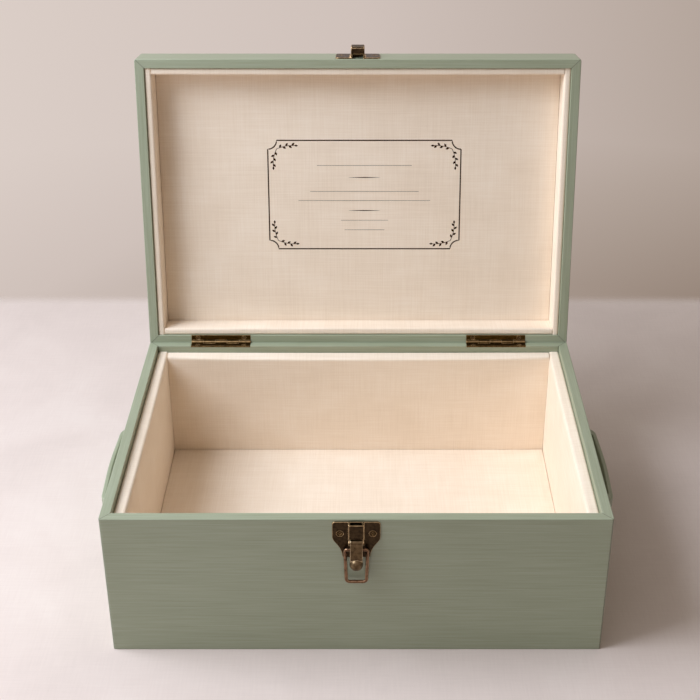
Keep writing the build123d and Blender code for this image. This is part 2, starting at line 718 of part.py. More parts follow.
with BuildPart() as latch_bail:
    with BuildLine(Plane.XZ.offset(half_d + bail_u)) as wire:
        FilletPolyline((-bail_end_gap / 2, bail_z), (-bail_top_width / 2, bail_z),
                       (-bail_bottom_width / 2, bail_z - bail_reach),
                       (bail_bottom_width / 2, bail_z - bail_reach),
                       (bail_top_width / 2, bail_z), (bail_end_gap / 2, bail_z),
                       radius=(1.5 * wire_radius, 2 * wire_radius,
                               2 * wire_radius, 1.5 * wire_radius))
    with BuildSketch(Plane(origin=wire.line @ 0, z_dir=wire.line % 0)):
        Circle(wire_radius)
    sweep(path=wire.line)
latch_bail.part.label = "latch_bail"

# --- Keeper on the lid's front rail -----------------------------------------
KEEPER_FACE = on_lid(Plane.XZ.offset(-lid_front))
catch_low = lid_rim + keeper_above_rim
mouth_width = catch_width - 2 * sheet

with BuildPart() as latch_keeper:
    with BuildSketch(KEEPER_FACE):
        with Locations((0, catch_low + keeper_length / 2)):
            RectangleRounded(keeper_width, keeper_length, keeper_corner)
    extrude(amount=sheet)
    outward = Axis((0, 0, 0), KEEPER_FACE.z_dir)
    fillet(latch_keeper.faces().sort_by(outward)[-1].edges(), radius=sheet / 2)
    # Hat-shaped catch, hollow and open towards the rim
    up_lid = Axis((0, 0, 0), lid_up.z_dir)
    with BuildSketch(on_lid(Plane.YZ.offset(-catch_width / 2))):
        Polygon((lid_front - sheet, catch_low), (lid_front - catch_nose, catch_low),
                (lid_front - catch_reach, catch_low + catch_length),
                (lid_front - sheet, catch_low + catch_length), align=None)
    extrude(amount=catch_width)
    roof = latch_keeper.faces().sort_by(outward)[-1]
    fillet(roof.edges().filter_by(Axis.X, reverse=True), radius=sheet)
    with BuildSketch(on_lid(Plane.XY.offset(catch_low + sheet / 2))):
        Polygon((-catch_width / 2 - catch_flare, lid_front - sheet),
                (catch_width / 2 + catch_flare, lid_front - sheet),
                (catch_width / 2, lid_front - sheet - catch_flare),
                (-catch_width / 2, lid_front - sheet - catch_flare), align=None)
    extrude(amount=catch_length - sheet / 2)
    with BuildSketch(KEEPER_FACE):
        with Locations((0, catch_low)):
            Rectangle(mouth_width, catch_length - sheet, align=(Align.CENTER, Align.MIN))
    extrude(amount=catch_mouth, mode=Mode.SUBTRACT)
    with BuildSketch(KEEPER_FACE):
        with Locations((0, slot_end)):
            Rectangle(mouth_width, catch_low + catch_length - sheet - slot_end,
                      align=(Align.CENTER, Align.MIN))
    extrude(amount=catch_reach - sheet, mode=Mode.SUBTRACT)
    # Slot in which the cross bar of the bail is drawn down behind the nose
    with BuildSketch(KEEPER_FACE.offset(slot_floor)):
        with Locations((0, slot_start)):
            Rectangle(2 * catch_width, slot_end - slot_start, align=(Align.CENTER, Align.MIN))
    extrude(amount=catch_reach, mode=Mode.SUBTRACT)
    with Locations(*keeper_places):
        add(latch_seat, mode=Mode.SUBTRACT)
latch_keeper.part.label = "latch_keeper"

with BuildPart() as keeper_screws:
    with Locations(*keeper_places):
        add(latch_screw_part)
keeper_screws.part.label = "keeper_screws"

# --- Export -----------------------------------------------------------------
pieces = [
    front_wall, back_wall, left_wall, right_wall, base_panel,
    front_board, back_board, left_board, right_board, floor_board,
    front_pad, back_pad, left_pad, right_pad, floor_pad,
    left_handle, right_handle, handle_screws,
    left_hinge_case_leaf, right_hinge_case_leaf, left_hinge_pin, right_hinge_pin,
    case_hinge_screws, left_hinge_lid_leaf, right_hinge_lid_leaf, lid_hinge_screws,
    lid_front_rail, lid_back_rail, lid_left_rail, lid_right_rail, lid_panel,
    lid_board, lid_linen_panel, lid_front_pad, lid_back_pad, lid_left_pad, lid_right_pad,
    latch_plate, latch_pin, latch_screws, latch_lever, latch_bail,
    latch_keeper, keeper_screws,
]
os.makedirs("parts", exist_ok=True)
for piece in pieces:
    export_step(piece.part, f"parts/{piece.part.label}.step")
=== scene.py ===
# %% [markdown]
# # A keepsake box, dressed
#
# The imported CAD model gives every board, hinge and latch its true shape and place. This notebook
# loads it and adds what CAD leaves out: paint, linen, old brass, soft padding and a printed plaque.
# The padding is the only shape that is made again here, because a solid with rounded edges never
# looks stuffed. Everything is in metres, in the CAD's own frame.

# %% Load the frame
import json
import math
import bmesh
import bpy
import numpy as np
from mathutils import Matrix, Vector
from mathutils.bvhtree import BVHTree


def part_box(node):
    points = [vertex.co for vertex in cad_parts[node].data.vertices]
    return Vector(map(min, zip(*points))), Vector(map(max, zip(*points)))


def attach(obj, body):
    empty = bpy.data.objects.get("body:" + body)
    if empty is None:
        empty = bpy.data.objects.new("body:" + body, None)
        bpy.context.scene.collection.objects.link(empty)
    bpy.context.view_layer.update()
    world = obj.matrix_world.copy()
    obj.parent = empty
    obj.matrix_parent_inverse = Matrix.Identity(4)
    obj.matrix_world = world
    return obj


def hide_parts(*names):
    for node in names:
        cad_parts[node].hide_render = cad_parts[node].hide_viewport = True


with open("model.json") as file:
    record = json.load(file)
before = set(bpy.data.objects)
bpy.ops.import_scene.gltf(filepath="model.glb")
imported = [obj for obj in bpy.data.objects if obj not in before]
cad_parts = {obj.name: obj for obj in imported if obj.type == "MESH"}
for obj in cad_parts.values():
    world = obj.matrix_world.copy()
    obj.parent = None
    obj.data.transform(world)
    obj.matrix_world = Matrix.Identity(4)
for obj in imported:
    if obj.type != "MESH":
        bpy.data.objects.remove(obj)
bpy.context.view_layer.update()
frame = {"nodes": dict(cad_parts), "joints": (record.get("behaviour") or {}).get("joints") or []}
MM = 0.001

# %% [markdown]
# ## Where the open lid is
#
# The lid leans back at its stop. Its pads and its plaque are far easier to make lying flat, as on
# the bench with the lid shut, and then to carry over with one matrix. The hinge gives that matrix:
# its point, and the angle that the joint still has to travel before the lid is shut.

# %% Lid matrix
hinge = next(j for j in frame["joints"] if j["name"] == "lid_hinge")
OPEN = math.radians(hinge["range_deg"][1])
LID = Matrix.Translation(Vector(hinge["pos_m"])) @ Matrix.Rotation(-OPEN, 4, "X")
print(f"lid open {math.degrees(OPEN):.1f} degrees")

# %% Sizes of the box


def shut_box(node):
    """Lowest and highest corner of a lid node, measured from the hinge with the lid shut."""
    back = LID.inverted()
    corners = np.array([back @ v.co for v in frame["nodes"][node].data.vertices])
    return Vector(corners.min(0)), Vector(corners.max(0))


HALF_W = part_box("front_wall")[1].x
HALF_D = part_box("back_wall")[1].y
lid_low, lid_high = shut_box("lid_panel")
LID_MIDDLE = (lid_low.y + lid_high.y) / 2
print(f"case {2 * HALF_W:.3f} x {2 * HALF_D:.3f} m, lid middle {LID_MIDDLE:.3f} m from its hinge")

# %% [markdown]
# ## Small helpers
#
# Colours are given as sRGB hex values, but the shader works in linear light, so one function
# converts them. Another adds a node with its settings and its links in one line, which keeps a
# material readable as a list of steps. Patterns read Object coordinates. On the lid these are
# turned back to the shut lid, so that a pattern lies square to its boards as it does on the case.

# %% Colour helper


def linear(code):
    """An sRGB hex colour such as "a4aa94" as linear RGBA."""
    channels = [int(code[i:i + 2], 16) / 255 for i in (0, 2, 4)]
    return tuple(c / 12.92 if c <= 0.04045 else ((c + 0.055) / 1.055) ** 2.4
                 for c in channels) + (1.0,)


# %% Node helpers


def add_node(tree, kind, links=None, stops=None, **settings):
    """Adds a node. links gives inputs by name or number, as a value or as another node's socket."""
    node = tree.nodes.new(kind)
    for name, value in settings.items():
        setattr(node, name, value)
    for key, value in (links or {}).items():
        if isinstance(value, bpy.types.NodeSocket):
            tree.links.new(value, node.inputs[key])
        else:
            node.inputs[key].default_value = value
    if stops:
        for _ in stops[2:]:
            node.color_ramp.elements.new(0.5)
        for element, (place, colour) in zip(node.color_ramp.elements, stops):
            element.position, element.color = place, colour
    return node


def new_material(name):
    """An empty material and its node tree, with the output node ready."""
    material = bpy.data.materials.new(name)
    material.use_nodes = True
    material.node_tree.nodes.clear()
    return material, material.node_tree, add_node(material.node_tree, "ShaderNodeOutputMaterial")


def piece_coordinates(tree, on_lid):
    """Object coordinates, and for pieces of the lid the coordinates of the shut lid."""
    place = add_node(tree, "ShaderNodeTexCoord").outputs["Object"]
    if on_lid:
        back = LID.inverted()
        place = add_node(tree, "ShaderNodeMapping", {
            0: place, "Location": back.translation, "Rotation": back.to_euler()}).outputs[0]
    return place


# %% [markdown]
# ## Sage eggshell paint
#
# The boards are close-grained timber under a brushed water-based paint: an eggshell finish that
# keeps the marks of a wide brush as long fine ridges. A stretched noise makes the ridges. It is
# many times finer across the board than along it, so each board needs its own direction. A real
# ridge is about 0.5 mm wide, too fine to see from here, so they are drawn at 1.2 mm. A second
# noise, seven times broader, stands for the strokes themselves.

# %% Brush marks
RIDGE = 1.2 * MM        # across one mark of the brush
SWEEP = 55 * MM         # along it


def brush_marks(tree, place, along):
    """Noises for the fine and the broad marks of a brush that ran along axis 0 or 1."""
    marks = []
    for wide, far, roughness in ((RIDGE, SWEEP, 0.6), (7 * RIDGE, 2 * SWEEP, 0.5)):
        cells = [1 / wide] * 3
        cells[along] = 1 / far
        drawn = add_node(tree, "ShaderNodeVectorMath", {0: place, 1: cells}, operation="MULTIPLY")
        marks.append(add_node(tree, "ShaderNodeTexNoise", {
            "Vector": drawn.outputs[0], "Scale": 1.0, "Detail": 2.0,
            "Roughness": roughness}).outputs[0])
    return marks


# %% [markdown]
# ### Mitred corners
#
# The mitres are real joints in the CAD, but the hairline of filler in them is colour alone. It is
# drawn where a point is as far in from the end of the box as from its side. The top panel and the
# base panel are single boards, so theirs is left out.

# %% Mitre hairline
HAIRLINE = 0.2 * MM, 0.65 * MM      # off the joint: where it starts to fade, and where it is gone
FILLER = 0.7                        # how much of the filler's colour shows in the joint


def mitre_hairline(tree, place, on_lid):
    """How much filler shows: FILLER in the line of a mitre and 0 off it."""
    centred = add_node(tree, "ShaderNodeVectorMath", {
        0: place, 1: (0, -LID_MIDDLE if on_lid else 0, 0)}, operation="ADD")
    parts = add_node(tree, "ShaderNodeSeparateXYZ", {0: add_node(
        tree, "ShaderNodeVectorMath", {0: centred.outputs[0]}, operation="ABSOLUTE").outputs[0]})
    spread = add_node(tree, "ShaderNodeMath", {0: parts.outputs[0], 1: parts.outputs[1]},
                      operation="SUBTRACT")
    past = add_node(tree, "ShaderNodeMath", {0: spread.outputs[0], 1: HALF_W - HALF_D},
                    operation="SUBTRACT")
    off_mitre = add_node(tree, "ShaderNodeMath", {0: past.outputs[0]}, operation="ABSOLUTE")
    return add_node(tree, "ShaderNodeMapRange", {
        "Value": off_mitre.outputs[0], "From Min": HAIRLINE[0], "From Max": HAIRLINE[1],
        "To Min": FILLER, "To Max": 0.0}, interpolation_type="SMOOTHSTEP").outputs[0]


# %% Paint
CLOUD = 71.43 * MM      # slow drift of tone over a board
BROAD_SHARE, CLOUD_SHARE = 0.2, 0.12


def sage_paint(name, along, on_lid, mitred=True):
    """Sage paint brushed along axis 0 or 1, with a hairline in the corners of mitred boards."""
    material, tree, output = new_material(name)
    place = piece_coordinates(tree, on_lid)
    fine, broad = brush_marks(tree, place, along)
    cloudy = add_node(tree, "ShaderNodeTexNoise", {
        "Vector": place, "Scale": 1 / CLOUD, "Detail": 3.0})
    tone = add_node(tree, "ShaderNodeMix", {"Factor": BROAD_SHARE, 2: fine, 3: broad})
    tone = add_node(tree, "ShaderNodeMix", {
        "Factor": CLOUD_SHARE, 2: tone.outputs[0], 3: cloudy.outputs[0]})
    colour = add_node(tree, "ShaderNodeValToRGB", {0: tone.outputs[0]}, stops=[
        (0.36, linear("90987f")), (0.5, linear("979f87")), (0.64, linear("9ea68f"))]).outputs[0]
    if mitred:
        colour = add_node(tree, "ShaderNodeMix", {
            "Factor": mitre_hairline(tree, place, on_lid), 6: colour, 7: linear("62655a")},
            data_type="RGBA").outputs[2]
    ridges = add_node(tree, "ShaderNodeMath", {0: fine, 1: broad}, operation="ADD")
    relief = add_node(tree, "ShaderNodeBump", {
        "Strength": 0.25, "Distance": 0.12 * MM, "Height": ridges.outputs[0]})
    # Eggshell: a low sheen that breaks up along the ridges
    gloss = add_node(tree, "ShaderNodeMapRange", {"Value": fine, "To Min": 0.36, "To Max": 0.5})
    shader = add_node(tree, "ShaderNodeBsdfPrincipled", {
        "Base Color": colour, "Roughness": gloss.outputs[0], "IOR": 1.5,
        "Specular IOR Level": 0.8, "Normal": relief.outputs[0]})
    tree.links.new(shader.outputs[0], output.inputs[0])
    return material


paint = {(along, on_lid): sage_paint(f"eggshell_paint_{'lid' if on_lid else 'case'}_{along}",
                                     along, on_lid)
         for along in (0, 1) for on_lid in (False, True)}
base_paint = sage_paint("eggshell_paint_base_panel", 0, False, mitred=False)
top_paint = sage_paint("eggshell_paint_lid_panel", 0, True, mitred=False)
print("paints:", len(paint) + 2, "with ridges of %.1f mm" % (RIDGE / MM))

# %% [markdown]
# ## Natural linen
#
# The linings are a plain-woven linen: matt, cream, with thick places in the yarn, called slubs,
# that run a few centimetres and stop. Three noises, each very fine along one axis and long in the
# others, give threads on faces that lie any way round, because on any face one of the three is
# constant. Real threads here are 0.4 mm apart. They are drawn 0.8 mm apart so that they show.

# %% Linen
THREAD, SLUB = 0.8 * MM, 34 * MM


def linen(name, on_lid):
    """Cream plain-woven linen with slubs, for pieces of the case or of the lid."""
    material, tree, output = new_material(name)
    place = piece_coordinates(tree, on_lid)
    yarns = []
    for axis in range(3):
        cells = [1 / SLUB] * 3
        cells[axis] = 1 / THREAD
        drawn = add_node(tree, "ShaderNodeVectorMath", {0: place, 1: cells}, operation="MULTIPLY")
        yarns.append(add_node(tree, "ShaderNodeTexNoise", {
            "Vector": drawn.outputs[0], "Scale": 1.0, "Detail": 2.0, "Roughness": 0.5}))
    weave = yarns[0]
    for yarn in yarns[1:]:
        weave = add_node(tree, "ShaderNodeMath", {0: weave.outputs[0], 1: yarn.outputs[0]},
                         operation="ADD")
    tone = add_node(tree, "ShaderNodeMath", {0: weave.outputs[0], 1: 1 / 3}, operation="MULTIPLY")
    colour = add_node(tree, "ShaderNodeValToRGB", {0: tone.outputs[0]}, stops=[
        (0.36, linear("eeddc9")), (0.5, linear("f4e4d1")), (0.64, linear("f9ebda"))])
    relief = add_node(tree, "ShaderNodeBump", {
        "Strength": 0.35, "Distance": 0.2 * MM, "Height": tone.outputs[0]})
    # Matt, with the faint bloom that loose fibres give at a grazing angle
    shader = add_node(tree, "ShaderNodeBsdfPrincipled", {
        "Base Color": colour.outputs[0], "Roughness": 0.92, "IOR": 1.45,
        "Specular IOR Level": 0.2, "Sheen Weight": 0.12, "Sheen Roughness": 0.5,
        "Sheen Tint": linear("f3e9dc"), "Normal": relief.outputs[0]})
    tree.links.new(shader.outputs[0], output.inputs[0])
    return material


linens = {"case": linen("natural_linen_case", False), "lid": linen("natural_linen_lid", True)}
print("linens:", [material.name for material in linens.values()])

# %% [markdown]
# ## Antique brass
#
# The hinges and the latch are stamped brass, darkened in a bath and then relieved: rubbed so that
# raised edges show coppery metal again. These edges are drawn pale, so that they also stand for a
# painted highlight along them. The Bevel node finds those edges. It rounds the normal over a set
# width, and where that rounded normal leaves the true one, there is an edge. Knuckles, bends and
# wire have no edge, and their pale band is a painted highlight, in place of the lamp's reflection
# along a round part. They are found by their normal: a flat plate faces straight along one axis of
# the box, and a round part does not. On the open lid the normal is first turned back to the shut
# lid, where its plates are square to the box again.

# %% Rubbed edges and painted highlights
AGREE_FLAT, AGREE_EDGE = 0.99, 0.85     # cosine between the rounded normal and the true one
FACING_FLAT, FACING_ROUND = 0.97, 0.8   # largest of the three parts of the normal


def rubbed_and_highlit_mask(tree, rounded, round_highlight, on_lid):
    """A mask of rubbed sharp edges, also painted highlights, from the rounded normal, and of a
    painted highlight on round parts, of the given strength.
    """
    true = add_node(tree, "ShaderNodeNewGeometry")
    agree = add_node(tree, "ShaderNodeVectorMath", {
        0: rounded.outputs[0], 1: true.outputs["Normal"]}, operation="DOT_PRODUCT")
    sharp = add_node(tree, "ShaderNodeMapRange", {
        "Value": agree.outputs["Value"], "From Min": AGREE_FLAT, "From Max": AGREE_EDGE,
        "To Min": 0.0, "To Max": 1.0})
    facing = add_node(tree, "ShaderNodeTexCoord").outputs["Normal"]
    if on_lid:
        facing = add_node(tree, "ShaderNodeVectorRotate", {"Vector": facing, "Angle": OPEN},
                          rotation_type="X_AXIS").outputs[0]
    parts = add_node(tree, "ShaderNodeSeparateXYZ", {0: add_node(
        tree, "ShaderNodeVectorMath", {0: facing}, operation="ABSOLUTE").outputs[0]})
    most = add_node(tree, "ShaderNodeMath", {0: parts.outputs[0], 1: parts.outputs[1]},
                    operation="MAXIMUM")
    most = add_node(tree, "ShaderNodeMath", {0: most.outputs[0], 1: parts.outputs[2]},
                    operation="MAXIMUM")
    # Round parts: a painted highlight where the normal leans between two axes
    painted_round_highlight = add_node(tree, "ShaderNodeMapRange", {
        "Value": most.outputs[0], "From Min": FACING_FLAT, "From Max": FACING_ROUND,
        "To Min": 0.0, "To Max": round_highlight})
    return add_node(tree, "ShaderNodeMath", {0: sharp.outputs[0], 1: painted_round_highlight.outputs[0]},
                    operation="MAXIMUM")


# %% [markdown]
# ### The bath and the rubbing
#
# The bath leaves patches a few millimetres wide, so one noise mixes the two dark tones, makes the
# shine uneven, and breaks up the pale line of rubbing and painted highlight so that it doesn't look
# drawn on. The surface is also finely pitted. Real pits are about 0.1 mm, and are drawn at 0.45 mm
# so that they catch the light.

# %% Relieved metal
STAIN, PIT = 2.381 * MM, 0.4545 * MM


def relieved_metal(name, dark, middle, bright, rub, roughness, round_highlight=0.85, on_lid=False):
    """Darkened metal whose edges are rubbed bright over a width of rub metres, which also stands
    for a painted edge highlight, and whose rounded faces get a painted highlight of the given
    strength."""
    material, tree, output = new_material(name)
    place = add_node(tree, "ShaderNodeTexCoord").outputs["Object"]
    stain = add_node(tree, "ShaderNodeTexNoise", {
        "Vector": place, "Scale": 1 / STAIN, "Detail": 4.0, "Roughness": 0.6})
    pits = add_node(tree, "ShaderNodeTexNoise", {"Vector": place, "Scale": 1 / PIT, "Detail": 2.0})
    rounded = add_node(tree, "ShaderNodeBevel", {"Radius": rub}, samples=8)
    edges = rubbed_and_highlit_mask(tree, rounded, round_highlight, on_lid)
    broken = add_node(tree, "ShaderNodeMapRange", {
        "Value": stain.outputs[0], "From Min": 0.3, "From Max": 0.6,
        "To Min": 0.35, "To Max": 1.0})
    # Rubbed edges and painted highlights, broken up by the stain
    worn_and_highlit = add_node(tree, "ShaderNodeMath", {0: edges.outputs[0], 1: broken.outputs[0]},
                    operation="MULTIPLY")
    ground = add_node(tree, "ShaderNodeValToRGB", {0: stain.outputs[0]}, stops=[
        (0.35, linear(dark)), (0.62, linear(middle))])
    colour = add_node(tree, "ShaderNodeMix", {
        "Factor": worn_and_highlit.outputs[0], 6: ground.outputs[0], 7: linear(bright)}, data_type="RGBA")
    gloss = add_node(tree, "ShaderNodeMapRange", {
        "Value": stain.outputs[0], "From Min": 0.3, "From Max": 0.7,
        "To Min": roughness - 0.06, "To Max": roughness + 0.1})
    relief = add_node(tree, "ShaderNodeBump", {
        "Strength": 0.25, "Distance": 0.05 * MM, "Height": pits.outputs[0],
        "Normal": rounded.outputs[0]})
    shader = add_node(tree, "ShaderNodeBsdfPrincipled", {
        "Base Color": colour.outputs[2], "Metallic": 1.0, "Roughness": gloss.outputs[0],
        "Normal": relief.outputs[0]})
    tree.links.new(shader.outputs[0], output.inputs[0])
    return material


# %% Brass, wire and steel
# Plates: nearly black flats with thin pale edges, rubbed and also drawn as painted
# highlights. The keeper sits on the open lid.
old_brass = relieved_metal("antique_brass_stamped", "2c2217", "463827", "e6c596",
                           rub=0.9 * MM, roughness=0.36)
keeper_brass = relieved_metal("antique_brass_keeper", "2c2217", "4e3e2c", "e6c596",
                              rub=0.9 * MM, roughness=0.36, on_lid=True)
# Hinges: duller and more golden, as their leaves are let into the wood and rubbed less.
# The pale line along their knuckles is a painted highlight.
hinge_brass = relieved_metal("antique_brass_hinge", "38290f", "4a3717", "cfae80",
                             rub=0.5 * MM, roughness=0.45, round_highlight=0.45)
# Lever: thumbed smooth, so it is lighter all over, and its knob gets only a faint painted
# highlight.
lever_brass = relieved_metal("antique_brass_lever", "4c3d2b", "6a573e", "e0c9a4",
                             rub=1.2 * MM, roughness=0.32, round_highlight=0.12)
# Bail: drawn wire, pinker than sheet brass, with a smooth long highlight, partly painted along the
# wire.
bail_wire = relieved_metal("antique_copper_wire", "5c4433", "7d604a", "d6b08e",
                           rub=0.5 * MM, roughness=0.30, round_highlight=0.5)
# Screws of the hinges and the latch: dark heads with a dull brown rim, rubbed and also a painted
# highlight.
screw_brass = relieved_metal("antique_brass_screws", "2e2416", "43351f", "c29f70",
                             rub=0.6 * MM, roughness=0.40)
# Screws of the handles: plain grey zinc, hidden behind the linings.
screw_steel = relieved_metal("zinc_plated_steel", "8d8d8b", "a4a4a2", "c9c9c7",
                             rub=0.3 * MM, roughness=0.34)
print("patches of %.1f mm and pits of %.2f mm in the metals" % (STAIN / MM, PIT / MM))

# %% [markdown]
# ## Millboard
#
# Each padded panel is wrapped round a sheet of grey-brown millboard. It only shows if the padding
# is taken off, so a matt board colour with the flecks of recycled pulp, about 1 mm, is enough.

# %% Millboard
FLECK = 1.111 * MM
millboard, tree, output = new_material("pressed_millboard")
flecks = add_node(tree, "ShaderNodeTexNoise", {
    "Vector": add_node(tree, "ShaderNodeTexCoord").outputs["Object"], "Scale": 1 / FLECK,
    "Detail": 5.0, "Roughness": 0.7})
pulp = add_node(tree, "ShaderNodeValToRGB", {0: flecks.outputs[0]}, stops=[
    (0.3, linear("8b8071")), (0.55, linear("a79b89")), (0.8, linear("bdb29f"))])
shader = add_node(tree, "ShaderNodeBsdfPrincipled", {
    "Base Color": pulp.outputs[0], "Roughness": 0.9, "Specular IOR Level": 0.2})
tree.links.new(shader.outputs[0], output.inputs[0])
print(millboard.name, "has flecks of %.1f mm" % (FLECK / MM))

# %% [markdown]
# ## Finishes on the CAD pieces
#
# A table of node to material does this in one place. Boards that run left to right take the paint
# with ridges along X, and the end boards the one with ridges along Y.

# %% Assign the finishes
finishes = {
    paint[0, False]: ["front_wall", "back_wall"],
    paint[1, False]: ["left_wall", "right_wall", "left_handle", "right_handle"],
    paint[0, True]: ["lid_front_rail", "lid_back_rail"],
    paint[1, True]: ["lid_left_rail", "lid_right_rail"],
    base_paint: ["base_panel"],
    top_paint: ["lid_panel"],
    millboard: ["front_board", "back_board", "left_board", "right_board", "floor_board",
                "lid_board"],
    old_brass: ["latch_plate", "latch_pin"],
    keeper_brass: ["latch_keeper"],
    lever_brass: ["latch_lever"],
    bail_wire: ["latch_bail"],
    hinge_brass: ["left_hinge_case_leaf", "right_hinge_case_leaf", "left_hinge_lid_leaf",
                  "right_hinge_lid_leaf", "left_hinge_pin", "right_hinge_pin"],
    screw_brass: ["case_hinge_screws", "lid_hinge_screws", "latch_screws", "keeper_screws"],
    screw_steel: ["handle_screws"],
}
for finish, nodes in finishes.items():
    for node in nodes:
        mesh = frame["nodes"][node].data
        mesh.materials.clear()
        mesh.materials.append(finish)
print("finishes:", len(finishes), "on", sum(len(n) for n in finishes.values()), "nodes")

# %% [markdown]
# ## Padded panels
#
# Each lining panel is wadding under linen that is pulled round a board. It could be a rounded box,
# but real wadding swells between the edges that hold it. So each panel starts as a block that
# fills its CAD place, short of it by a fine seam where it meets its neighbours and by its crown on
# the side that faces the room. The block's soft edges are bevelled, it is cut into a regular grid,
# and then a cloth simulation blows it up from inside.

# %% Sizes of the pads
X, Y, Z = 0, 1, 2
LOW, HIGH = -1, 1
SEAM = 0.04 * MM        # gap left where a pad meets its neighbours
CROWN = {"case": 0.5 * MM, "lid": 0.15 * MM}    # how far the room side may swell, on each body
CELL = 6 * MM           # grid of the cloth
TOUCH = 0.001 * MM      # nearer than this, a point lies on a side


def block_corners(low, high, body, out):
    """Corners of the block that a pad starts as. out is the side that faces the room."""
    start_low = low + Vector([SEAM] * 3)
    start_high = high - Vector([SEAM] * 3)
    axis, side = out
    if side == HIGH:
        start_low[axis], start_high[axis] = low[axis], high[axis] - CROWN[body]
    else:
        start_low[axis], start_high[axis] = low[axis] + CROWN[body], high[axis]
    return start_low, start_high


def sides_at(vert, low, high):
    """The sides of a block that a point lies on, as (axis, LOW or HIGH)."""
    return {(axis, side) for axis in (X, Y, Z) for side, end in ((LOW, low), (HIGH, high))
            if abs(vert.co[axis] - end[axis]) < TOUCH}


print("a wall pad may swell %.2f mm towards the room" % (CROWN["case"] / MM))

# %% [markdown]
# ### Round edges, grid and creases
#
# The grid gives the cloth points that can move, and bisect_plane cuts it straight through the
# rounded edges too. Edges that stay sharp are creased, or the Subdivision Surface that finishes
# the pad would draw its corners in like a pillow's.

# %% Shape a block
ROUND_STEPS = 4
WELD = 0.05 * MM
SHARP = math.radians(40)    # a fold sharper than this stays a crease


def round_soft_edges(bm, low, high, soft, fronts, radius):
    """Bevels the edges where a soft side meets one of the front sides."""
    rounded = []
    for edge in bm.edges:
        sides = sides_at(edge.verts[0], low, high) & sides_at(edge.verts[1], low, high)
        if sides & set(soft) and sides & fronts:
            rounded.append(edge)
    bmesh.ops.bevel(bm, geom=rounded, offset=radius, segments=ROUND_STEPS,
                    profile=0.5, affect="EDGES", material=-1, clamp_overlap=True)


def cut_grid(bm, low, high):
    """Cuts a block into cells along all three axes."""
    for axis in (X, Y, Z):
        length = high[axis] - low[axis]
        cells = max(2, round(length / CELL))
        for k in range(1, cells):
            spot, across = Vector((0, 0, 0)), Vector((0, 0, 0))
            spot[axis], across[axis] = low[axis] + length * k / cells, 1
            bmesh.ops.bisect_plane(bm, geom=bm.verts[:] + bm.edges[:] + bm.faces[:],
                                   plane_co=spot, plane_no=across, dist=0.01 * MM)
    bmesh.ops.remove_doubles(bm, verts=bm.verts, dist=WELD)


def crease_sharp_edges(bm):
    """Keeps the sharp edges of a block sharp under the Subdivision Surface."""
    crease = bm.edges.layers.float.new("crease_edge")
    for edge in bm.edges:
        if edge.calc_face_angle(0.0) > SHARP:
            edge[crease] = 1.0
            edge.smooth = False


# %% [markdown]
# ### One panel
#
# A panel's back is glued to its board and its ends lie against the next panel, so the points on
# those sides are held. The room side is free. So is the rim side of a wall pad, where the linen
# goes over the wadding and down behind it.

# %% Make a panel
pads = []


def pad_panel(name, node, body, out, soft, loose, radius, fill):
    """A pad in the place of a CAD node. Sides are given as (axis, LOW or HIGH): out faces the
    room, the sides in soft meet it in an edge of that radius, and loose is free as well."""
    low, high = shut_box(node) if body == "lid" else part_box(node)
    start_low, start_high = block_corners(low, high, body, out)
    bm = bmesh.new()
    bmesh.ops.create_cube(bm, size=1.0)
    bmesh.ops.scale(bm, vec=start_high - start_low, verts=bm.verts)
    bmesh.ops.translate(bm, vec=(start_low + start_high) / 2, verts=bm.verts)
    back = (out[0], -out[1])
    round_soft_edges(bm, start_low, start_high, soft, {out, back} if loose else {out}, radius)
    cut_grid(bm, start_low, start_high)
    crease_sharp_edges(bm)
    bm.verts.index_update()
    glued = [v.index for v in bm.verts if sides_at(v, start_low, start_high) - {out, loose}]
    print(name, "has", len(bm.verts), "points,", len(glued), "of them glued")
    mesh = bpy.data.meshes.new(name)
    bm.to_mesh(mesh)
    bm.free()
    mesh.materials.append(linens[body])
    pad = bpy.data.objects.new(name, mesh)
    bpy.context.scene.collection.objects.link(pad)
    pads.append(dict(pad=pad, node=node, body=body, low=low, high=high, glued=glued, fill=fill))
    return pad


# %% Tray pads
# The long edge at the rim is soft, both towards the room and towards the wall.
FACINGS = {"front": (Y, HIGH), "back": (Y, LOW), "left": (X, HIGH), "right": (X, LOW)}
ALL_ROUND = [(axis, side) for axis in (X, Y) for side in (LOW, HIGH)]
for name, facing in FACINGS.items():
    pad_panel(f"{name}_padding", f"{name}_pad", "case", facing, soft=[(Z, HIGH)],
              loose=(Z, HIGH), radius=2.0 * MM, fill=0.8)
pad_panel("floor_padding", "floor_pad", "case", (Z, HIGH), soft=ALL_ROUND, loose=None,
          radius=0.9 * MM, fill=0.7)

# %% Lid pads
# The shut lid's rim is its low side. The field is a thin flat panel between the four strips.
for name, facing in FACINGS.items():
    pad_panel(f"lid_{name}_padding", f"lid_{name}_pad", "lid", facing, soft=[(Z, LOW)],
              loose=(Z, LOW), radius=1.6 * MM, fill=0.8)
lid_field = pad_panel("lid_field", "lid_linen_panel", "lid", (Z, LOW), soft=ALL_ROUND,
                      loose=None, radius=0.15 * MM, fill=0.9)

# %% [markdown]
# ## Blow the pads up
#
# All the pads are simulated together, with pressure and without gravity. Twelve frames are enough
# for panels this shallow. Afterwards every point is kept within the panel's own place, so that
# neighbours press together but never cross. The shape is then written into the mesh and the
# modifier is taken off, so the result is the same wherever the file is opened.

# %% Cloth
FRAMES = 12
PRESSURE, STRETCH, BEND = 2.5, 20.0, 2.0    # tight linen over shallow wadding


